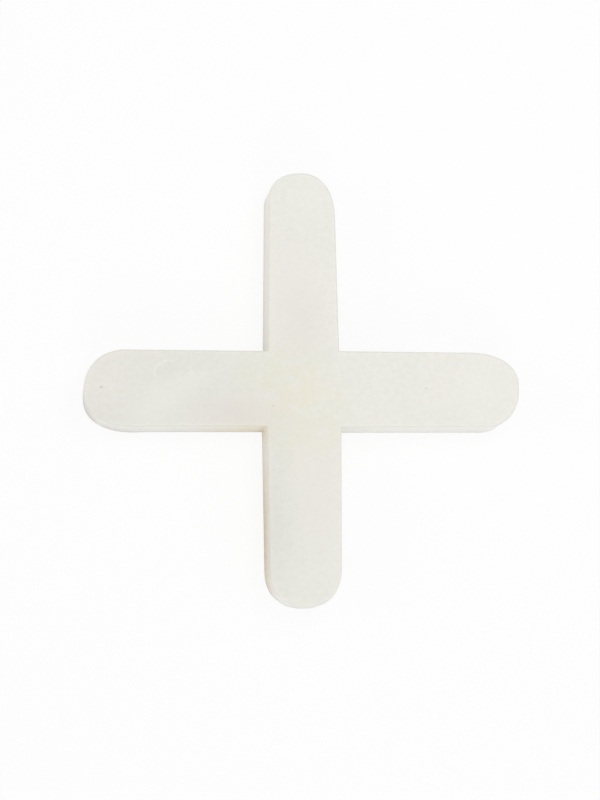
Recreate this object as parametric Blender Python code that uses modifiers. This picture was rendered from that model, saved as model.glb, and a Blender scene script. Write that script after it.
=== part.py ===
"""Tile spacer: one cross moulded in natural polyethylene, laid flat in the joints where four tiles meet.

The cross lies on its base in the XY plane with its thickness along +Z. The origin is the centre of the
crossing on the base. The outline is drawn at the base, where the mould parts and the cross is widest.
"""

from collections import namedtuple
from math import atan2, copysign, cos, pi, radians, sin, tan

import bmesh
import bpy
from mathutils import Matrix, Vector
from mathutils.geometry import intersect_line_line_2d

MM = 0.001

# Section of the moulding
THICKNESS = 3.0 * MM
DRAFT_ANGLE = radians(1.5)
TOP_ROUNDING = 0.12 * MM
BASE_ROUNDING = 0.08 * MM
CORNER_FILLET = 0.12 * MM

# Widths of each arm at the centre of the crossing and where its round nose starts
RIGHT_ROOT_WIDTH = 5.06 * MM
RIGHT_TIP_WIDTH = 4.98 * MM
UPPER_ROOT_WIDTH = 4.82 * MM
UPPER_TIP_WIDTH = 4.45 * MM
LEFT_ROOT_WIDTH = 4.97 * MM
LEFT_TIP_WIDTH = 5.03 * MM
LOWER_ROOT_WIDTH = 4.96 * MM
LOWER_TIP_WIDTH = 4.74 * MM

# Reach of each arm from the centre of the crossing to the end of its nose
RIGHT_REACH = 14.14 * MM
UPPER_REACH = 14.21 * MM
LEFT_REACH = 14.07 * MM
LOWER_REACH = 13.95 * MM

# Each nose is two quarter superellipses, a little fuller than ellipses, that start where their sides end
NOSE_FULLNESS = 2.29
RIGHT_NOSE_UPPER_LENGTH = 3.90 * MM
RIGHT_NOSE_LOWER_LENGTH = 2.11 * MM
UPPER_NOSE_LEFT_LENGTH = 1.88 * MM
UPPER_NOSE_RIGHT_LENGTH = 3.17 * MM
LEFT_NOSE_LOWER_LENGTH = 4.00 * MM
LEFT_NOSE_UPPER_LENGTH = 2.48 * MM
LOWER_NOSE_RIGHT_LENGTH = 3.03 * MM
LOWER_NOSE_LEFT_LENGTH = 2.25 * MM

# How far the end of each nose lies to the left of its arm's centre line, looking out along the arm
RIGHT_NOSE_LEAN = 0.19 * MM
UPPER_NOSE_LEAN = 0.02 * MM
LEFT_NOSE_LEAN = 0.29 * MM
LOWER_NOSE_LEAN = 0.14 * MM

# Witness of an ejector pin in the top of the left arm
MARK_DIAMETER = 1.86 * MM
MARK_DEPTH = 0.05 * MM
MARK_FROM_TIP = 5.44 * MM
MARK_OFF_AXIS = 0.80 * MM

# Fineness of the curves
NOSE_STEPS = 28
FILLET_STEPS = 4
TOP_ROUNDING_STEPS = 3
BASE_ROUNDING_STEPS = 2
MARK_STEPS = 48
SMOOTH_ANGLE = radians(30)

Arm = namedtuple("Arm", "root_width tip_width reach left_nose right_nose lean")

# Arms in anticlockwise order from +X; their left and right are seen looking out along the arm
ARMS = (
    Arm(
        RIGHT_ROOT_WIDTH, RIGHT_TIP_WIDTH, RIGHT_REACH,
        RIGHT_NOSE_UPPER_LENGTH, RIGHT_NOSE_LOWER_LENGTH, RIGHT_NOSE_LEAN
    ),
    Arm(
        UPPER_ROOT_WIDTH, UPPER_TIP_WIDTH, UPPER_REACH,
        UPPER_NOSE_LEFT_LENGTH, UPPER_NOSE_RIGHT_LENGTH, UPPER_NOSE_LEAN
    ),
    Arm(
        LEFT_ROOT_WIDTH, LEFT_TIP_WIDTH, LEFT_REACH,
        LEFT_NOSE_LOWER_LENGTH, LEFT_NOSE_UPPER_LENGTH, LEFT_NOSE_LEAN
    ),
    Arm(
        LOWER_ROOT_WIDTH, LOWER_TIP_WIDTH, LOWER_REACH,
        LOWER_NOSE_RIGHT_LENGTH, LOWER_NOSE_LEFT_LENGTH, LOWER_NOSE_LEAN
    ),
)
LEFT_ARM = 2

NATURAL_PLASTIC = (0.81, 0.79, 0.73)
PLASTIC_ROUGHNESS = 0.42
PLASTIC_IOR = 1.51


def clear_scene():
    """Remove the objects that a new file starts with."""
    for item in list(bpy.data.objects):
        bpy.data.objects.remove(item, do_unlink=True)


def make_collection(name, hidden=False):
    """Add a collection to the scene."""
    collection = bpy.data.collections.new(name)
    collection.hide_render = hidden
    bpy.context.scene.collection.children.link(collection)
    return collection


def natural_plastic():
    """Uncoloured polyethylene as moulded: milky white with a little cream, and a soft gloss."""
    material = bpy.data.materials.new("natural_polyethylene")
    material.use_nodes = True
    shader = material.node_tree.nodes["Principled BSDF"]
    shader.inputs["Base Color"].default_value = (*NATURAL_PLASTIC, 1.0)
    shader.inputs["Roughness"].default_value = PLASTIC_ROUGHNESS
    shader.inputs["Metallic"].default_value = 0.0
    shader.inputs["IOR"].default_value = PLASTIC_IOR
    return material


def arm_turn(index):
    """Rotation that carries an arm drawn along +X to its own direction."""
    return Matrix.Rotation(index * pi / 2, 2)


def nose_length(arm, hand):
    """Length of the nose on one side of an arm; hand is +1 for its left side, -1 for its right."""
    return arm.left_nose if hand > 0 else arm.right_nose


def arm_side(index, hand):
    """Straight side of an arm, from the centre line outwards; hand is +1 for its left side, -1 for its right."""
    arm = ARMS[index % len(ARMS)]
    turn = arm_turn(index)
    start = turn @ Vector((0.0, hand * arm.root_width / 2))
    end = turn @ Vector((arm.reach - nose_length(arm, hand), hand * arm.tip_width / 2))
    return start, end


def nose(index):
    """Points round the end of an arm, from the end of its right side to the end of its left side."""
    arm = ARMS[index]
    turn = arm_turn(index)
    points = []
    for step in range(NOSE_STEPS + 1):
        angle = pi * (step / NOSE_STEPS - 0.5)
        forward = abs(cos(angle)) ** (2 / NOSE_FULLNESS)
        across = copysign(abs(sin(angle)) ** (2 / NOSE_FULLNESS), angle)
        along = arm.reach - nose_length(arm, angle) * (1 - forward)
        points.append(turn @ Vector((along, across * arm.tip_width / 2 + arm.lean * forward)))
    return points


def inner_corner(index):
    """Small concave arc between an arm's left side and the next arm's right side."""
    near = arm_side(index, 1)
    far = arm_side(index + 1, -1)
    corner = intersect_line_line_2d(*near, *far)
    out_near = (near[1] - near[0]).normalized()
    out_far = (far[1] - far[0]).normalized()
    half_angle = out_near.angle(out_far) / 2
    centre = corner + (out_near + out_far).normalized() * (CORNER_FILLET / sin(half_angle))
    first = corner + out_near * (CORNER_FILLET / tan(half_angle)) - centre
    last = corner + out_far * (CORNER_FILLET / tan(half_angle)) - centre
    start = atan2(first.y, first.x)
    sweep = (atan2(last.y, last.x) - start + pi) % (2 * pi) - pi
    points = []
    for step in range(FILLET_STEPS + 1):
        angle = start + sweep * step / FILLET_STEPS
        points.append(centre + Vector((cos(angle), sin(angle))) * CORNER_FILLET)
    return points


def base_outline():
    """Whole outline of the cross at its base, anticlockwise."""
    points = []
    for index in range(len(ARMS)):
        points += nose(index)
        points += inner_corner(index)
    return points


def ring_group(item, name, height):
    """Vertex group of the outline's points at one height, for the rounding there."""
    group = item.vertex_groups.new(name=name)
    ring = [vertex.index for vertex in item.data.vertices if abs(vertex.co.z - height) < THICKNESS / 4]
    group.add(ring, 1.0, "REPLACE")


def round_edge(item, group, width, steps):
    """Round the edges that lie in a vertex group."""
    bevel = item.modifiers.new("round " + group, "BEVEL")
    bevel.limit_method = "VGROUP"
    bevel.vertex_group = group
    bevel.width = width
    bevel.segments = steps


def drafted_cross(collection, material):
    """Raise the base outline to its thickness with drafted walls, and round its edges."""
    mesh = bpy.data.meshes.new("spacer_cross")
    item = bpy.data.objects.new("spacer_cross", mesh)
    collection.objects.link(item)
    model = bmesh.new()
    face = model.faces.new([model.verts.new((point.x, point.y, 0.0)) for point in base_outline()])
    face.normal_update()
    bmesh.ops.inset_region(
        model, faces=[face], use_boundary=True, use_even_offset=True,
        thickness=THICKNESS * tan(DRAFT_ANGLE), depth=THICKNESS
    )
    bmesh.ops.edgeloop_fill(model, edges=[edge for edge in model.edges if edge.is_boundary])
    bmesh.ops.recalc_face_normals(model, faces=model.faces)
    model.to_mesh(mesh)
    model.free()
    ring_group(item, "top edge", THICKNESS)
    ring_group(item, "base edge", 0.0)
    round_edge(item, "top edge", TOP_ROUNDING, TOP_ROUNDING_STEPS)
    round_edge(item, "base edge", BASE_ROUNDING, BASE_ROUNDING_STEPS)
    mesh.materials.append(material)
    return item


def mark_cutter(collection):
    """Flat disc that sinks the ejector pin's witness into the top of the left arm."""
    place = arm_turn(LEFT_ARM) @ Vector((ARMS[LEFT_ARM].reach - MARK_FROM_TIP, -MARK_OFF_AXIS))
    mesh = bpy.data.meshes.new("ejector_mark_cutter")
    model = bmesh.new()
    bmesh.ops.create_cone(
        model, cap_ends=True, segments=MARK_STEPS, radius1=MARK_DIAMETER / 2, radius2=MARK_DIAMETER / 2,
        depth=2 * MARK_DEPTH, matrix=Matrix.Translation((place.x, place.y, THICKNESS))
    )
    model.to_mesh(mesh)
    model.free()
    cutter = bpy.data.objects.new("ejector_mark_cutter", mesh)
    cutter.hide_render = True
    cutter.display_type = "WIRE"
    collection.objects.link(cutter)
    return cutter


def cut(item, cutter):
    """Take the cutter's volume out of the object."""
    difference = item.modifiers.new("cut " + cutter.name, "BOOLEAN")
    difference.operation = "DIFFERENCE"
    difference.object = cutter


def main():
    """Build the spacer."""
    clear_scene()
    spacer = make_collection("tile_spacer")
    cutters = make_collection("cutters", hidden=True)
    cross = drafted_cross(spacer, natural_plastic())
    cut(cross, mark_cutter(cutters))
    cross.data.shade_smooth()
    cross.data.set_sharp_from_angle(angle=SMOOTH_ANGLE)


main()
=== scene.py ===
"""Looks of the tile spacer: one cross moulded in natural polyethylene, lying on a pale floor.

Lengths are in metres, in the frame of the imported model. The origin is the centre of the crossing
on the base. Seen from above, +X points along the right arm, +Y along the upper arm and +Z up
through the thickness.
"""

from collections import namedtuple
from math import cos, pi, radians, sin, tan

import bmesh
import bpy
from bpy.props import FloatProperty, FloatVectorProperty, PointerProperty
from mathutils import Matrix, Quaternion, Vector
from mathutils.geometry import intersect_line_line_2d


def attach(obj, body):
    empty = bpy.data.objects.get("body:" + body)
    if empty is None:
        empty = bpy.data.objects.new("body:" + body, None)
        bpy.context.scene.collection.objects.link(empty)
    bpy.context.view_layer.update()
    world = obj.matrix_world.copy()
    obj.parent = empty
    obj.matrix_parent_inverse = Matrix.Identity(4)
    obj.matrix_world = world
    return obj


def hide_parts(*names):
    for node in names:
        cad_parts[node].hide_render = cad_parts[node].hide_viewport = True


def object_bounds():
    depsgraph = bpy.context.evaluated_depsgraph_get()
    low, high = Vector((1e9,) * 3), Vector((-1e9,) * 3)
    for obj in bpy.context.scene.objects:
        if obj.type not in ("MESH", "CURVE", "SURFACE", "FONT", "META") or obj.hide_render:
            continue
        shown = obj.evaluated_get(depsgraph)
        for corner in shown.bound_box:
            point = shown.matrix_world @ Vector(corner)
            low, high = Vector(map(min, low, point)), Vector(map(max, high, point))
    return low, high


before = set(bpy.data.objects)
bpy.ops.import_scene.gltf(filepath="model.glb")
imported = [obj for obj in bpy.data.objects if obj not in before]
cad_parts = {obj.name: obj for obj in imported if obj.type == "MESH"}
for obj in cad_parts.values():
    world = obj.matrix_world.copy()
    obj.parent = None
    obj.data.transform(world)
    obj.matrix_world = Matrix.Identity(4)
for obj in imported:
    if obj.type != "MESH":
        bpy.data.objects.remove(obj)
CAD_LOW, CAD_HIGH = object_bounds()

bl_info = {
    "name": "Tile Spacer",
    "version": (1, 0, 0),
    "blender": (4, 5, 0),
    "location": "View3D > Sidebar > Tile Spacer",
    "description": "Models a moulded cross spacer for tile joints and a soft studio for it",
    "category": "Add Mesh",
}

MM = 0.001

# Fineness of the curves
NOSE_STEPS = 36
FILLET_STEPS = 8
TOP_ROUNDING_STEPS = 6
BASE_ROUNDING_STEPS = 4
MARK_STEPS = 96
MERGE_DISTANCE = 0.0001 * MM

# Profile of a bevel that is part of a circle
ROUND = 0.5

# Weight of large faces in the shading; 100, the most, keeps the flat faces flat
LARGE_FACE_WEIGHT = 100

# Arms count anticlockwise from the right one
ARM_COUNT = 4
LEFT_ARM = 2

# Ejector mark: where its pin pressed deepest, and how far the cone that cuts it stands out of the
# face, in depths of the mark
DEEP_SIDE = Vector((-0.5, 0.87, 0)).normalized()
CONE_RISE = 3

# Sockets of a colour Mix node
MIX_FACTOR, MIX_FIRST, MIX_SECOND, MIX_RESULT = 0, 6, 7, 2

# Marks in the top face: colour, strength, softness from 0 to 1, then centre and half size in
# millimetres, and the turn in degrees of their long side from +X
Mark = namedtuple("Mark", "colour strength softness centre reach turn")
MARKS = (
    # Pale streaks and spots on the left arm
    Mark("milky", 0.65, 1.0, (-8.05, 0.33), (3.2, 0.8), 19),
    Mark("milky", 0.7, 1.0, (-8.8, -0.75), (3.6, 1.3), 25),
    Mark("milky", 1.0, 0.6, (-7.21, 0.96), (0.17, 0.26), 0),
    Mark("milky", 0.4, 0.6, (-12.31, -0.05), (0.18, 0.18), 0),
    Mark("milky", 0.4, 0.6, (-11.81, -0.05), (0.18, 0.14), 0),
    # Pale arc round the ejector mark: painted light on the upper left of its sloping rim
    Mark("milky", 0.9, 1.0, (-9.55, 0.87), (0.34, 0.12), 86),
    Mark("milky", 1.0, 1.0, (-9.44, 1.24), (0.34, 0.12), 61),
    Mark("milky", 1.0, 1.0, (-9.20, 1.53), (0.34, 0.12), 38),
    Mark("milky", 1.0, 1.0, (-8.87, 1.70), (0.34, 0.12), 15),
    Mark("milky", 0.7, 1.0, (-8.50, 1.72), (0.30, 0.10), -8),
    # Dark specks
    Mark("speck", 0.30, 0.7, (-12.88, 0.01), (0.13, 0.11), 0),
    Mark("speck", 0.20, 0.7, (7.93, 0.04), (0.11, 0.11), 0),
    Mark("speck", 0.30, 0.7, (-1.99, -1.13), (0.11, 0.13), 0),
    # Faint flow lines
    Mark("speck", 0.03, 1.0, (1.51, 1.27), (1.7, 0.25), 77),
    Mark("speck", 0.02, 1.0, (2.92, 0.24), (1.2, 0.22), 90),
    Mark("speck", 0.02, 1.0, (0.24, 9.04), (3.6, 0.2), 89),
    Mark("speck", 0.02, 1.0, (0.06, -6.83), (1.2, 0.2), 89),
    # Painted shade over the lower arm's left half, then warmer and yellower tints
    Mark("speck", 0.08, 0.8, (-2.6, -8.0), (7.5, 2.6), 90),
    Mark("rosy", 0.75, 0.8, (-4.0, -1.6), (4.5, 2.0), 0),
    Mark("rosy", 0.7, 0.8, (0.6, -6.5), (5.0, 2.2), 90),
    Mark("rosy", 0.6, 0.8, (-0.6, 6.0), (5.0, 2.2), 90),
    Mark("honey", 0.15, 1.0, (-0.1, -0.5), (2.4, 1.2), 20),
    Mark("amber", 0.10, 1.0, (-3.6, -2.2), (3.5, 1.6), 0),
    # Painted shade: the left arm, its end and the roots of the left and upper arms darker
    Mark("speck", 0.05, 1.0, (-7.5, 0.3), (8.0, 5.0), 0),
    Mark("speck", 0.06, 1.0, (-13.1, -1.9), (3.2, 1.8), -20),
    Mark("speck", 0.05, 1.0, (-4.6, -1.4), (4.0, 2.0), 0),
    Mark("speck", 0.06, 1.0, (0.1, 4.2), (2.8, 3.4), 0),
    # Painted light: the ends of the lower, upper and right arms and the lower arm's right side
    # paler
    Mark("milky", 0.4, 1.0, (1.9, -10.6), (1.1, 3.2), 0),
    Mark("milky", 0.5, 1.0, (0.3, 12.8), (3.0, 3.0), 0),
    Mark("milky", 0.5, 1.0, (12.3, -0.2), (4.0, 3.6), 0),
    Mark("milky", 0.25, 1.0, (0.3, -12.8), (3.0, 3.0), 0),
)

# Yellowed patch at the crossing, and stains and painted shade on the walls, given like the marks
PATCH = Mark("yellowed", 0.58, 0.6, (-0.5, -0.9), (5.6, 3.9), -65)
STAINS_AND_SHADE = (
    # Left wall of the lower arm, near wall of the left arm and left wall of the upper arm
    # The amber stain is partly painted shade
    Mark("amber", 0.95, 0.8, (-2.35, -9.3), (8.5, 1.0), 90),
    Mark("honey", 0.72, 0.7, (-3.0, -2.6), (4.0, 0.9), 0),
    Mark("honey", 0.38, 0.5, (-2.65, 7.6), (9.0, 1.1), 90),
    # Painted shade on the upper arm's left wall
    Mark("speck", 0.09, 0.5, (-2.65, 7.6), (9.0, 1.1), 90),
    # Painted shade round the noses of the left and lower arms and along the near walls
    Mark("speck", 0.46, 0.8, (-14.0, -0.8), (1.2, 2.6), 0),
    Mark("speck", 0.18, 0.6, (0.0, -13.9), (2.4, 1.2), 0),
    Mark("speck", 0.16, 0.8, (-7.2, -2.5), (7.2, 1.0), 0),
    Mark("speck", 0.05, 0.8, (11.0, -2.4), (5.5, 1.2), 0),
    Mark("speck", 0.17, 0.8, (-12.8, -2.1), (3.4, 1.6), -25),
)

# How far marks reach down from the top face, and what reaches through the whole spacer, in
# millimetres
MARK_REACH_DOWN = 1.0
ALL_THROUGH = 30.0

# Below the top face: where the rim's painted shade and the walls' painted light start and are full
RIM_BAND = (0.003 * MM, 0.05 * MM)
WALL_BAND = (0.1 * MM, 0.6 * MM)

# Band in which the walls' colours fade in above the base, and the share of the thickness that the
# painted shade at the foot covers
BASE_BAND = 0.03 * MM
FOOT_SHARE = 0.5

# Strength of the painted shade on the rim and at the foot
RIM_PAINTED_SHADE = 0.03
FOOT_PAINTED_SHADE = 0.1

# Exponent of the strength of stains and painted shade down the wall: fast below the rim, then slow
STAIN_AND_SHADE_RISE = 0.4

# Noise patterns: the noise, then the noise values between which the pattern changes and its ends
CLOUDS = (
    {"Scale": 1 / (5 * MM), "Detail": 2.0},
    {"From Min": 0.38, "From Max": 0.68, "To Max": 0.7},
)
MOTTLE = (
    {"Scale": 1 / (0.34 * MM), "Detail": 1.5, "Roughness": 0.7},
    {"From Min": 0.35, "From Max": 0.65, "To Max": 0.42},
)
BLOTCHES = (
    {"Scale": 1 / (0.8 * MM), "Detail": 3.0, "Distortion": 0.5},
    {"From Min": 0.38, "From Max": 0.62, "To Min": 0.25},
)
DRAG_LINES = (
    {"Scale": 1.0, "Detail": 2.0},
    {"From Min": 0.35, "From Max": 0.65, "To Min": 0.78},
)
GLOSS = (
    {"Scale": 1 / (2 * MM), "Detail": 3.0},
    {"To Min": 0.36, "To Max": 0.5},
)
RELIEF = {"Scale": 1 / (0.35 * MM), "Detail": 2.0}
RELIEF_DEPTH = 0.004 * MM
DRAG_WIDTH = 0.25 * MM
DRAG_LENGTH = 4 * MM

# Studio; the white share is how much of the floor's look is plain white, and the rest takes shadow
FLOOR_WIDTH = 1200 * MM
FLOOR_GAP = 0.01 * MM
FLOOR_WHITE_SHARE = 0.85
SKY_LEVEL = 0.733
Softbox = namedtuple("Softbox", "azimuth elevation distance width")
KEY = Softbox(-86, 35, 600 * MM, 240 * MM)
FILL = Softbox(45, 70, 75 * MM, 30 * MM)
SIDE = Softbox(180, 30, 600 * MM, 240 * MM)

# Camera, with its roll in radians and its sensor in millimetres
CAMERA_PLACE = Vector((-12.990, -14.973, 109.999)) * MM
CAMERA_AIM = Vector((0.074, -0.353, 0.0)) * MM
CAMERA_ROLL = 0.0103
SENSOR_SIDE = 36.0
NEAREST = 5 * MM


def linear(code):
    """Linear colour with alpha 1 of an sRGB hex value."""
    channels = []
    for place in (0, 2, 4):
        value = int(code[place:place + 2], 16) / 255
        channels.append(value / 12.92 if value <= 0.04045 else ((value + 0.055) / 1.055) ** 2.4)
    return (*channels, 1.0)


def size_property(name, description, default):
    """One length that a user can change."""
    return FloatProperty(
        name=name, description=description, default=default, min=0.0, precision=5, unit="LENGTH"
    )


def arm_property(name, description, millimetres):
    """One length for each arm, anticlockwise from the right one."""
    return FloatVectorProperty(
        name=name, description=description, size=ARM_COUNT, precision=5, unit="LENGTH",
        default=[value * MM for value in millimetres],
    )


def tilt_property(name, description, degrees):
    """One small angle that a user can change."""
    return FloatProperty(
        name=name, description=description, default=radians(degrees),
        min=0.0, max=radians(10), subtype="ANGLE",
    )


def colour_property(name, description, code):
    """One colour that a user can change."""
    return FloatVectorProperty(
        name=name, description=description, default=linear(code), size=4, min=0.0, max=1.0,
        subtype="COLOR",
    )


def level_property(name, lamp, default):
    """Brightness of one lamp that a user can change."""
    return FloatProperty(
        name=name, description=f"Brightness that the {lamp} lamp alone gives a white floor",
        default=default, min=0.0,
    )


class TileSpacerSizes(bpy.types.PropertyGroup):
    """Sizes of the moulding; lists run anticlockwise from the right arm."""

    reaches: FloatVectorProperty(
        name="Reaches", description="From the centre of the crossing to the end of each nose",
        size=ARM_COUNT, precision=5, unit="LENGTH",
        default=(CAD_HIGH.x, CAD_HIGH.y, -CAD_LOW.x, -CAD_LOW.y),
    )
    root_widths: arm_property(
        "Root widths", "Width of each arm's base at the centre of the crossing",
        (5.06, 4.82, 4.97, 4.96),
    )
    tip_widths: arm_property(
        "Tip widths", "Width of each arm's base where its nose starts", (4.98, 4.45, 5.03, 4.74)
    )
    nose_leans: arm_property(
        "Nose leans", "How far the end of each nose lies to the left of its arm's centre line",
        (0.19, 0.02, 0.29, 0.14),
    )
    left_noses: arm_property(
        "Left nose lengths", "From the end of each arm's left side to the end of its nose",
        (3.90, 1.88, 4.00, 3.03),
    )
    right_noses: arm_property(
        "Right nose lengths", "From the end of each arm's right side to the end of its nose",
        (2.11, 3.17, 2.48, 2.25),
    )
    nose_fullness: FloatProperty(
        name="Nose fullness", description="Exponent of the nose's superellipse; 2 is an ellipse",
        default=2.29, min=1.0, max=8.0,
    )
    thickness: size_property(
        "Thickness", "Height of the cross as it lies", CAD_HIGH.z - CAD_LOW.z
    )
    draft: tilt_property("Draft", "Lean of the walls that lets the moulding out", 1.5)
    top_rounding: size_property("Top rounding", "Radius of the edge round the top face", 0.12 * MM)
    base_rounding: size_property("Base rounding", "Radius of the edge round the base", 0.08 * MM)
    corner_fillet: size_property(
        "Corner fillet", "Radius of the inner corners between the arms", 0.05 * MM
    )
    mark_diameter: size_property(
        "Mark diameter", "Witness of the ejector pin in the left arm", 1.86 * MM
    )
    mark_depth: size_property(
        "Mark depth", "Depth of the ejector pin's witness at its centre", 0.015 * MM
    )
    mark_slope: size_property(
        "Mark slope", "Width of the slope round the ejector pin's witness", 0.09 * MM
    )
    mark_tilt: tilt_property(
        "Mark tilt", "Tilt of the pin, which presses deepest on the upper left", 0.2
    )
    mark_from_tip: size_property(
        "Mark from tip", "From the left arm's end to the mark's centre", 5.44 * MM
    )
    mark_off_axis: size_property(
        "Mark off axis", "From the left arm's centre line to the mark's centre", 0.80 * MM
    )


class TileSpacerColours(bpy.types.PropertyGroup):
    """Colours of the plastic, of its marks, and of painted light and shade."""

    plastic: colour_property("Plastic", "Uncoloured polyethylene", "E7E7DF")
    # Also painted light: the arc round the ejector mark and the paler ends of the arms
    milky: colour_property("Milky", "Paler clouds in the plastic", "F0F0E9")
    rosy: colour_property("Rosy", "Warmer clouds in the plastic", "ECE8E2")
    # Paler than the plastic: painted light on the walls, which get less light than the face
    wall: colour_property("Wall", "Clean walls between the two faces", "F7F6F1")
    yellowed: colour_property("Yellowed", "Plastic that stayed hot, at the crossing", "E7E4CE")
    # The amber stain is partly painted shade on the lower arm's left wall
    amber: colour_property("Amber", "Stain on the left wall of the lower arm", "CDBC9D")
    honey: colour_property("Honey", "Stain on the walls of the left and upper arms", "F2E6CA")
    # Also painted shade on the rim, at the foot, round the noses, along the near walls and on the
    # top
    speck: colour_property("Speck", "Dark specks, faint flow lines and dirt", "8E8470")


class TileSpacerStudio(bpy.types.PropertyGroup):
    """Lens and lamps."""

    lens: FloatProperty(
        name="Lens", description="Focal length that gives the photograph's view", default=76.617,
        min=10.0, subtype="DISTANCE_CAMERA",
    )
    key_level: level_property("Key level", "key", 0.08)
    fill_level: level_property("Fill level", "fill", 0.11)
    side_level: level_property("Side level", "side", 0.05)


def choose(kind, wanted):
    """Select only those of the edited mesh's VERT, EDGE or FACE elements that are wanted."""
    bpy.ops.mesh.select_mode(type=kind)
    bpy.ops.mesh.select_all(action="DESELECT")
    mesh = bpy.context.object.data
    shape = bmesh.from_edit_mesh(mesh)
    elements = {"VERT": shape.verts, "EDGE": shape.edges, "FACE": shape.faces}[kind]
    found = [element for element in elements if wanted(element)]
    if not found:
        raise RuntimeError("nothing in the mesh is where it was looked for")
    for element in found:
        element.select_set(True)
    bmesh.update_edit_mesh(mesh)


def middle(edge):
    """Point halfway along an edge."""
    return (edge.verts[0].co + edge.verts[1].co) / 2


def lies_flat_at(height):
    """Test for edges that lie level at one height."""
    return lambda edge: all(abs(vertex.co.z - height) < MERGE_DISTANCE for vertex in edge.verts)


def arm_axes(index):
    """Directions along an arm and across it to its left."""
    turn = Matrix.Rotation(index * pi / 2, 3, "Z")
    return turn @ Vector((1, 0, 0)), turn @ Vector((0, 1, 0))


def side_point(sizes, index, hand, at_nose):
    """Start of an arm's side at the crossing's centre, or its end at the nose.

    The left side has hand 1 and the right side -1.
    """
    index %= ARM_COUNT
    along, across = arm_axes(index)
    if not at_nose:
        return across * hand * sizes.root_widths[index] / 2
    nose = (sizes.left_noses if hand > 0 else sizes.right_noses)[index]
    return along * (sizes.reaches[index] - nose) + across * hand * sizes.tip_widths[index] / 2


def place_vertex(near, goal):
    """Move the vertex that is nearest to one place to another place."""
    shape = bmesh.from_edit_mesh(bpy.context.object.data)
    places = (vertex.co.copy() for vertex in shape.verts)
    start = min(places, key=lambda place: (place - near).length)
    choose("VERT", lambda vertex: vertex.co == start)
    bpy.ops.transform.translate(value=goal - start)


def draw_crossing(sizes):
    """Start from a square and move its corners to where the sides of the arms meet."""
    bpy.ops.object.select_all(action="DESELECT")
    bpy.ops.mesh.primitive_plane_add(size=sizes.root_widths[0], location=(0, 0, 0))
    cross = bpy.context.object
    cross.name = cross.data.name = "moulded_cross"
    bpy.ops.object.mode_set(mode="EDIT")
    for index in range(ARM_COUNT):
        sides = [
            side_point(sizes, arm, hand, at_nose).to_2d()
            for arm, hand in ((index, 1), (index + 1, -1)) for at_nose in (False, True)
        ]
        corner = intersect_line_line_2d(*sides).to_3d()
        place_vertex(corner, corner)
    return cross


def pull_arm(sizes, index):
    """Pull one side of the crossing out to a square-ended arm with a vertex in its end's middle."""
    along, across = arm_axes(index)
    end = along * sizes.reaches[index] + across * sizes.nose_leans[index]
    corners = [end + across * hand * sizes.tip_widths[index] / 2 for hand in (1, -1)]
    noses = [side_point(sizes, index, hand, True) for hand in (1, -1)]
    near = along * sizes.root_widths[index] / 2
    near_enough = sizes.root_widths[index] / 4
    for goals in (noses, corners):
        choose("EDGE", lambda edge: (middle(edge) - near).length < near_enough)
        step = (goals[0] + goals[1]) / 2 - near
        bpy.ops.mesh.extrude_region_move(TRANSFORM_OT_translate={"value": step})
        for goal in goals:
            place_vertex(goal, goal)
        near = (goals[0] + goals[1]) / 2
    choose("EDGE", lambda edge: (middle(edge) - end).length < MERGE_DISTANCE)
    bpy.ops.mesh.subdivide(number_cuts=1)


def round_noses(sizes):
    """Round the arms' end corners to quarter superellipses that meet in the middle of each end."""
    past_sides = min(sizes.reaches) - min(*sizes.left_noses, *sizes.right_noses) / 2
    off_centre = min(sizes.tip_widths) / 4

    def is_end_corner(vertex):
        far, near = sorted((abs(vertex.co.x), abs(vertex.co.y)), reverse=True)
        return far > past_sides and near > off_centre

    choose("VERT", is_end_corner)
    bpy.ops.mesh.bevel(
        affect="VERTICES", offset_type="PERCENT", offset_pct=100, segments=NOSE_STEPS,
        profile=2 ** (-2 / sizes.nose_fullness), clamp_overlap=False,
    )
    bpy.ops.mesh.select_all(action="SELECT")
    bpy.ops.mesh.remove_doubles(threshold=MERGE_DISTANCE)


def fillet_corners(sizes):
    """Round the four inner corners between the arms."""
    crossing = max(sizes.root_widths)
    choose("VERT", lambda vertex: abs(vertex.co.x) < crossing and abs(vertex.co.y) < crossing)
    bpy.ops.mesh.bevel(
        affect="VERTICES", offset_type="ABSOLUTE", offset=sizes.corner_fillet,
        segments=FILLET_STEPS, profile=ROUND, clamp_overlap=False,
    )


def raise_walls(sizes):
    """Raise the outline to its thickness with drafted walls, close the base, round both edges."""
    bpy.ops.mesh.select_all(action="SELECT")
    bpy.ops.mesh.inset(
        use_boundary=True, use_even_offset=True,
        thickness=sizes.thickness * tan(sizes.draft), depth=sizes.thickness,
    )
    choose("EDGE", lambda edge: edge.is_boundary)
    bpy.ops.mesh.edge_face_add()
    bpy.ops.mesh.select_all(action="SELECT")
    bpy.ops.mesh.normals_make_consistent(inside=False)
    edges = (
        (sizes.thickness, sizes.top_rounding, TOP_ROUNDING_STEPS),
        (0.0, sizes.base_rounding, BASE_ROUNDING_STEPS),
    )
    for height, radius, steps in edges:
        choose("EDGE", lies_flat_at(height))
        bpy.ops.mesh.bevel(
            affect="EDGES", offset_type="OFFSET", offset=radius, segments=steps, profile=ROUND,
            clamp_overlap=False,
        )
    bpy.ops.object.mode_set(mode="OBJECT")


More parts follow.
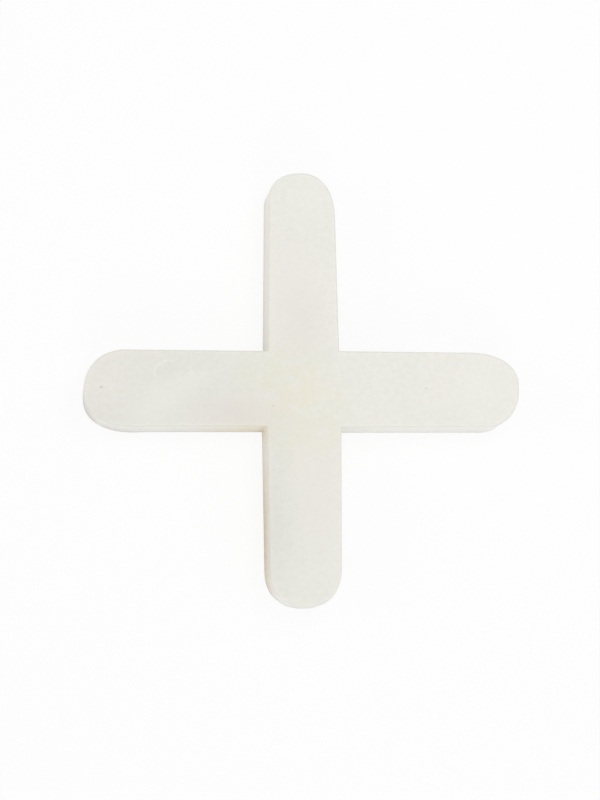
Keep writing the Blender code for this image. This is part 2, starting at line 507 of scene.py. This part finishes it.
def sink_mark(cross, sizes):
    """Sink the round witness of an ejector pin into the top of the left arm, with a sloping rim."""
    along, across = arm_axes(LEFT_ARM)
    centre = along * (sizes.reaches[LEFT_ARM] - sizes.mark_from_tip)
    centre -= across * sizes.mark_off_axis
    centre.z = sizes.thickness
    radius = sizes.mark_diameter / 2
    middle_rise = (CONE_RISE - 1) / 2 * sizes.mark_depth
    bpy.ops.object.select_all(action="DESELECT")
    bpy.ops.mesh.primitive_cone_add(
        vertices=MARK_STEPS, radius1=radius - sizes.mark_slope,
        radius2=radius + CONE_RISE * sizes.mark_slope, depth=(1 + CONE_RISE) * sizes.mark_depth,
        location=centre + Vector((0, 0, middle_rise)),
        rotation=Quaternion(DEEP_SIDE.cross((0, 0, 1)), -sizes.mark_tilt).to_euler(),
    )
    pin = bpy.context.object
    bpy.ops.object.select_all(action="DESELECT")
    bpy.context.view_layer.objects.active = cross
    cross.select_set(True)
    cut = cross.modifiers.new("ejector pin", "BOOLEAN")
    cut.operation = "DIFFERENCE"
    cut.object = pin
    bpy.ops.object.modifier_apply(modifier=cut.name)
    bpy.data.objects.remove(pin, do_unlink=True)

    def is_rim(edge):
        start, end = ((vertex.co - centre).to_2d().length for vertex in edge.verts)
        runs_round = abs(start - end) < sizes.mark_slope / 4
        return runs_round and abs(start - radius) < CONE_RISE * sizes.mark_slope

    bpy.ops.object.mode_set(mode="EDIT")
    choose("EDGE", is_rim)
    bpy.ops.mesh.mark_sharp()
    bpy.ops.object.mode_set(mode="OBJECT")


def finish_surface(cross):
    """Smooth shading whose flat faces stay flat."""
    bpy.ops.object.shade_smooth()
    weighted = cross.modifiers.new("even shading", "WEIGHTED_NORMAL")
    weighted.weight = LARGE_FACE_WEIGHT
    weighted.keep_sharp = True
    bpy.ops.object.modifier_apply(modifier=weighted.name)


def add_node(tree, kind, settings=None, links=None):
    """Add a node with its settings, on its sockets or on itself, and its links."""
    node = tree.nodes.new(kind)
    for name, value in (settings or {}).items():
        if isinstance(name, int) or name in node.inputs:
            node.inputs[name].default_value = value
        else:
            setattr(node, name, value)
    for name, source in (links or {}).items():
        tree.links.new(source, node.inputs[name])
    return node


def noise_pattern(tree, place, noise, ends):
    """Value that goes between its ends as the noise rises."""
    texture = add_node(tree, "ShaderNodeTexNoise", noise, {"Vector": place})
    pattern = add_node(tree, "ShaderNodeMapRange", ends, {"Value": texture.outputs["Fac"]})
    return pattern.outputs[0]


def fading_spot(tree, place, mark, height, reach_down):
    """Value that is the mark's strength at its centre and fades to nothing at its rim."""
    inside = add_node(tree, "ShaderNodeMapping", {
        "vector_type": "TEXTURE",
        "Location": Vector((*mark.centre, height)) * MM,
        "Rotation": (0, 0, radians(mark.turn)),
        "Scale": Vector((*mark.reach, reach_down)) * MM,
    }, {"Vector": place})
    ball = add_node(
        tree, "ShaderNodeTexGradient", {"gradient_type": "SPHERICAL"}, {"Vector": inside.outputs[0]}
    )
    fade = add_node(
        tree, "ShaderNodeMapRange", {"From Max": mark.softness, "To Max": mark.strength},
        {"Value": ball.outputs["Fac"]},
    )
    return fade.outputs[0]


def wall_bands(tree, place, thickness):
    """Values that change with the height, by name."""
    height = add_node(tree, "ShaderNodeSeparateXYZ", links={0: place}).outputs["Z"]
    (rim_start, rim_full), (wall_start, wall_full) = RIM_BAND, WALL_BAND
    bands = {
        # Painted shade on the rim
        "rim": {
            "From Min": thickness - rim_start, "From Max": thickness - rim_full, "To Max": RIM_PAINTED_SHADE
        },
        # Where the walls' painted light lies
        "below rim": {"From Min": thickness - wall_start, "From Max": thickness - wall_full},
        "depth": {"From Min": thickness, "From Max": 0.0},
        # Painted shade at the foot
        "foot": {"From Min": FOOT_SHARE * thickness, "From Max": 0.0, "To Max": FOOT_PAINTED_SHADE},
        "above base": {"From Max": BASE_BAND},
    }
    return {
        name: add_node(tree, "ShaderNodeMapRange", ends, {"Value": height}).outputs[0]
        for name, ends in bands.items()
    }


def colour_layers(tree, place, colours, thickness):
    """Colours over the plain plastic, from the first up, with the factors of their strength."""
    top = thickness / MM
    bands = wall_bands(tree, place, thickness)

    # Warmer clouds several millimetres wide: the colour drifts as the eye moves along an arm
    layers = [(colours.rosy, noise_pattern(tree, place, *CLOUDS))]

    # Paler mottling a few tenths of a millimetre wide: the surface looks moulded, not painted
    layers.append((colours.milky, noise_pattern(tree, place, *MOTTLE)))

    # Blotchy yellowed patch over the crossing
    patch = fading_spot(tree, place, PATCH, top / 2, ALL_THROUGH)
    layers.append((colours.yellowed, patch, noise_pattern(tree, place, *BLOTCHES)))

    # Pale streaks and spots, dark specks, faint flow lines, soft tints, and painted light and shade
    for mark in MARKS:
        spot = fading_spot(tree, place, mark, top, MARK_REACH_DOWN)
        layers.append((getattr(colours, mark.colour), spot))

    # Painted shade on the rounded rim, so that it doesn't shine out beside the face
    layers.append((colours.speck, bands["rim"]))

    # Painted light: the walls are paler than the face, and faint drag lines run down them
    drawn_out = add_node(
        tree, "ShaderNodeMapping",
        {"Scale": (1 / DRAG_WIDTH, 1 / DRAG_WIDTH, 1 / DRAG_LENGTH)}, {"Vector": place},
    )
    lines = noise_pattern(tree, drawn_out.outputs[0], *DRAG_LINES)
    layers.append((colours.wall, bands["above base"], bands["below rim"], lines))

    # Stains and painted shade that deepen down the walls, and painted shade at the foot all round
    depth = add_node(
        tree, "ShaderNodeMath", {"operation": "POWER", 1: STAIN_AND_SHADE_RISE}, {0: bands["depth"]}
    ).outputs[0]
    for stain in STAINS_AND_SHADE:
        spread = fading_spot(tree, place, stain, top / 2, ALL_THROUGH)
        factors = (spread, lines, depth, bands["above base"])
        layers.append((getattr(colours, stain.colour), *factors))
    # Painted shade at the foot of every wall
    layers.append((colours.speck, bands["foot"], bands["above base"]))
    return layers


def natural_polyethylene(colours, thickness):
    """Polyethylene moulded without pigment.

    It is milky and lets a little light through, which keeps its edges soft. Clouds where the melt
    mixed unevenly, a yellowed patch where it stayed hot and a few specks break up the plain colour,
    and some of the walls are stained. Painted light and shade lie in the colour too: paler walls, a
    pale arc round the ejector mark and paler arm ends; a darker rim, foot, noses and broad parts of
    the top face. The mould was plain steel, which leaves a low, slightly uneven gloss.
    """
    material = bpy.data.materials.new("natural_polyethylene_moulded")
    material.use_nodes = True
    tree = material.node_tree
    tree.nodes.clear()
    place = add_node(tree, "ShaderNodeTexCoord").outputs["Object"]

    # Each layer lies over the one before, and the first over the plain plastic
    under = {}
    for tint, strength, *factors in colour_layers(tree, place, colours, thickness):
        for factor in factors:
            strength = add_node(
                tree, "ShaderNodeMath", {"operation": "MULTIPLY"}, {0: strength, 1: factor}
            ).outputs[0]
        layer = add_node(
            tree, "ShaderNodeMix",
            {"data_type": "RGBA", MIX_FIRST: colours.plastic, MIX_SECOND: tint},
            {MIX_FACTOR: strength, **under},
        )
        under = {MIX_FIRST: layer.outputs[MIX_RESULT]}

    # Uneven gloss and a relief of a few thousandths of a millimetre, which the mould's steel left
    relief = add_node(tree, "ShaderNodeTexNoise", RELIEF, {"Vector": place})
    bump = add_node(
        tree, "ShaderNodeBump", {"Strength": 1.0, "Distance": RELIEF_DEPTH},
        {"Height": relief.outputs["Fac"]},
    )
    shader = add_node(tree, "ShaderNodeBsdfPrincipled", {
        "IOR": 1.51,
        "Subsurface Weight": 0.3,
        "Subsurface Radius": (1.0, 0.9, 0.7),
        "Subsurface Scale": 0.35 * MM,
    }, {
        "Base Color": under[MIX_FIRST],
        "Roughness": noise_pattern(tree, place, *GLOSS),
        "Normal": bump.outputs[0],
    })
    add_node(tree, "ShaderNodeOutputMaterial", links={"Surface": shader.outputs["BSDF"]})
    return material


class TILE_SPACER_OT_cross(bpy.types.Operator):
    """Model the moulded cross and give it its plastic"""

    bl_idname = "tile_spacer.cross"
    bl_label = "Moulded Cross"
    bl_options = {"REGISTER", "UNDO"}

    def execute(self, context):
        sizes = context.scene.tile_spacer_sizes
        cross = draw_crossing(sizes)
        for index in range(ARM_COUNT):
            pull_arm(sizes, index)
        bpy.ops.mesh.select_mode(type="FACE")
        bpy.ops.mesh.select_all(action="SELECT")
        bpy.ops.mesh.dissolve_faces()
        round_noses(sizes)
        fillet_corners(sizes)
        raise_walls(sizes)
        sink_mark(cross, sizes)
        finish_surface(cross)
        plastic = natural_polyethylene(context.scene.tile_spacer_colours, sizes.thickness)
        cross.data.materials.append(plastic)
        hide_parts("spacer_cross")
        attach(cross, "root")
        return {"FINISHED"}


def white_floor():
    """Matt white board: it reads as white to the camera and still takes the object's shadow."""
    material = bpy.data.materials.new("matt_white_board")
    material.use_nodes = True
    tree = material.node_tree
    tree.nodes.clear()
    seen = add_node(tree, "ShaderNodeLightPath")
    board = add_node(tree, "ShaderNodeBsdfDiffuse", {"Color": linear("FBFBFB")})
    glow = add_node(tree, "ShaderNodeEmission", {"Color": linear("FFFFFF"), "Strength": 1.0})
    share = add_node(
        tree, "ShaderNodeMath", {"operation": "MULTIPLY", 1: FLOOR_WHITE_SHARE},
        {0: seen.outputs["Is Camera Ray"]},
    )
    mixed = add_node(
        tree, "ShaderNodeMixShader",
        links={0: share.outputs[0], 1: board.outputs[0], 2: glow.outputs[0]},
    )
    add_node(tree, "ShaderNodeOutputMaterial", links={"Surface": mixed.outputs[0]})
    return material


def soft_sky(scene):
    """Even light from all round, which the camera, gloss and glass see as white."""
    world = bpy.data.worlds.new("soft_sky")
    scene.world = world
    world.use_nodes = True
    tree = world.node_tree
    tree.nodes.clear()
    ray = add_node(tree, "ShaderNodeLightPath")
    light, white = (
        add_node(tree, "ShaderNodeBackground", {"Color": linear("FFFFFF"), "Strength": strength})
        for strength in (SKY_LEVEL, 1.0)
    )
    shown = ray.outputs["Is Camera Ray"]
    for kind in ("Is Glossy Ray", "Is Transmission Ray"):
        shown = add_node(
            tree, "ShaderNodeMath", {"operation": "MAXIMUM"}, {0: shown, 1: ray.outputs[kind]}
        ).outputs[0]
    mixed = add_node(
        tree, "ShaderNodeMixShader", links={0: shown, 1: light.outputs[0], 2: white.outputs[0]}
    )
    add_node(tree, "ShaderNodeOutputWorld", links={"Surface": mixed.outputs[0]})


def add_lamp(name, softbox, level):
    """Square softbox that looks at the object; level is what it gives a white floor under it."""
    azimuth, elevation = radians(softbox.azimuth), radians(softbox.elevation)
    flat = cos(elevation)
    towards = Vector((cos(azimuth) * flat, sin(azimuth) * flat, sin(elevation)))
    bpy.ops.object.light_add(type="AREA", location=towards * softbox.distance)
    lamp = bpy.context.object
    lamp.name = lamp.data.name = name
    lamp.rotation_euler = towards.to_track_quat("Z", "Y").to_euler()
    lamp.data.shape = "SQUARE"
    lamp.data.size = softbox.width
    lamp.data.energy = level * pi ** 2 * softbox.distance ** 2 / towards.z


def add_camera(scene, lens):
    """Camera a hand's breadth above the object's lower left, as in the photograph."""
    back = (CAMERA_PLACE - CAMERA_AIM).normalized()
    right = Vector((sin(CAMERA_ROLL), cos(CAMERA_ROLL), 0)).cross(back).normalized()
    turn = Matrix((right, back.cross(right), back)).transposed()
    bpy.ops.object.camera_add(location=CAMERA_PLACE, rotation=turn.to_euler())
    camera = bpy.context.object
    camera.name = camera.data.name = "photograph_view"
    camera.data.sensor_width = SENSOR_SIDE
    camera.data.lens = lens
    camera.data.clip_start = NEAREST
    scene.camera = camera


class TILE_SPACER_OT_studio(bpy.types.Operator):
    """Lay the floor and set up the sky, the lamps and the camera"""

    bl_idname = "tile_spacer.studio"
    bl_label = "Studio"
    bl_options = {"REGISTER", "UNDO"}

    def execute(self, context):
        scene = context.scene
        studio = scene.tile_spacer_studio
        bpy.ops.mesh.primitive_plane_add(
            size=FLOOR_WIDTH, location=(0, 0, CAD_LOW.z - FLOOR_GAP)
        )
        floor = context.object
        floor.name = floor.data.name = "studio_floor"
        floor.data.materials.append(white_floor())
        soft_sky(scene)
        add_lamp("key_softbox", KEY, studio.key_level)
        add_lamp("fill_softbox", FILL, studio.fill_level)
        add_lamp("side_softbox", SIDE, studio.side_level)
        add_camera(scene, studio.lens)
        scene.view_settings.view_transform = "Standard"
        return {"FINISHED"}


class TILE_SPACER_PT_panel(bpy.types.Panel):
    """Sizes, colours and steps of the tile spacer"""

    bl_idname = "TILE_SPACER_PT_panel"
    bl_label = "Tile Spacer"
    bl_space_type = "VIEW_3D"
    bl_region_type = "UI"
    bl_category = "Tile Spacer"

    def draw(self, context):
        scene = context.scene
        for group in GROUPS:
            values = getattr(scene, group)
            box = self.layout.box()
            for name in values.__annotations__:
                box.prop(values, name)
        for step in OPERATORS:
            self.layout.operator(step.bl_idname)


GROUPS = {
    "tile_spacer_sizes": TileSpacerSizes,
    "tile_spacer_colours": TileSpacerColours,
    "tile_spacer_studio": TileSpacerStudio,
}
OPERATORS = (TILE_SPACER_OT_cross, TILE_SPACER_OT_studio)


def register():
    """Make the groups, operators and panel known, and give each scene its groups."""
    for kind in (*GROUPS.values(), *OPERATORS, TILE_SPACER_PT_panel):
        bpy.utils.register_class(kind)
    for name, group in GROUPS.items():
        setattr(bpy.types.Scene, name, PointerProperty(type=group))


def unregister():
    """Take back what register did."""
    for name in GROUPS:
        delattr(bpy.types.Scene, name)
    for kind in (TILE_SPACER_PT_panel, *reversed(OPERATORS), *reversed(GROUPS.values())):
        bpy.utils.unregister_class(kind)


def main():
    """Build the spacer and its studio."""
    register()
    bpy.ops.tile_spacer.cross()
    bpy.ops.tile_spacer.studio()


if __name__ == "__main__":
    main()
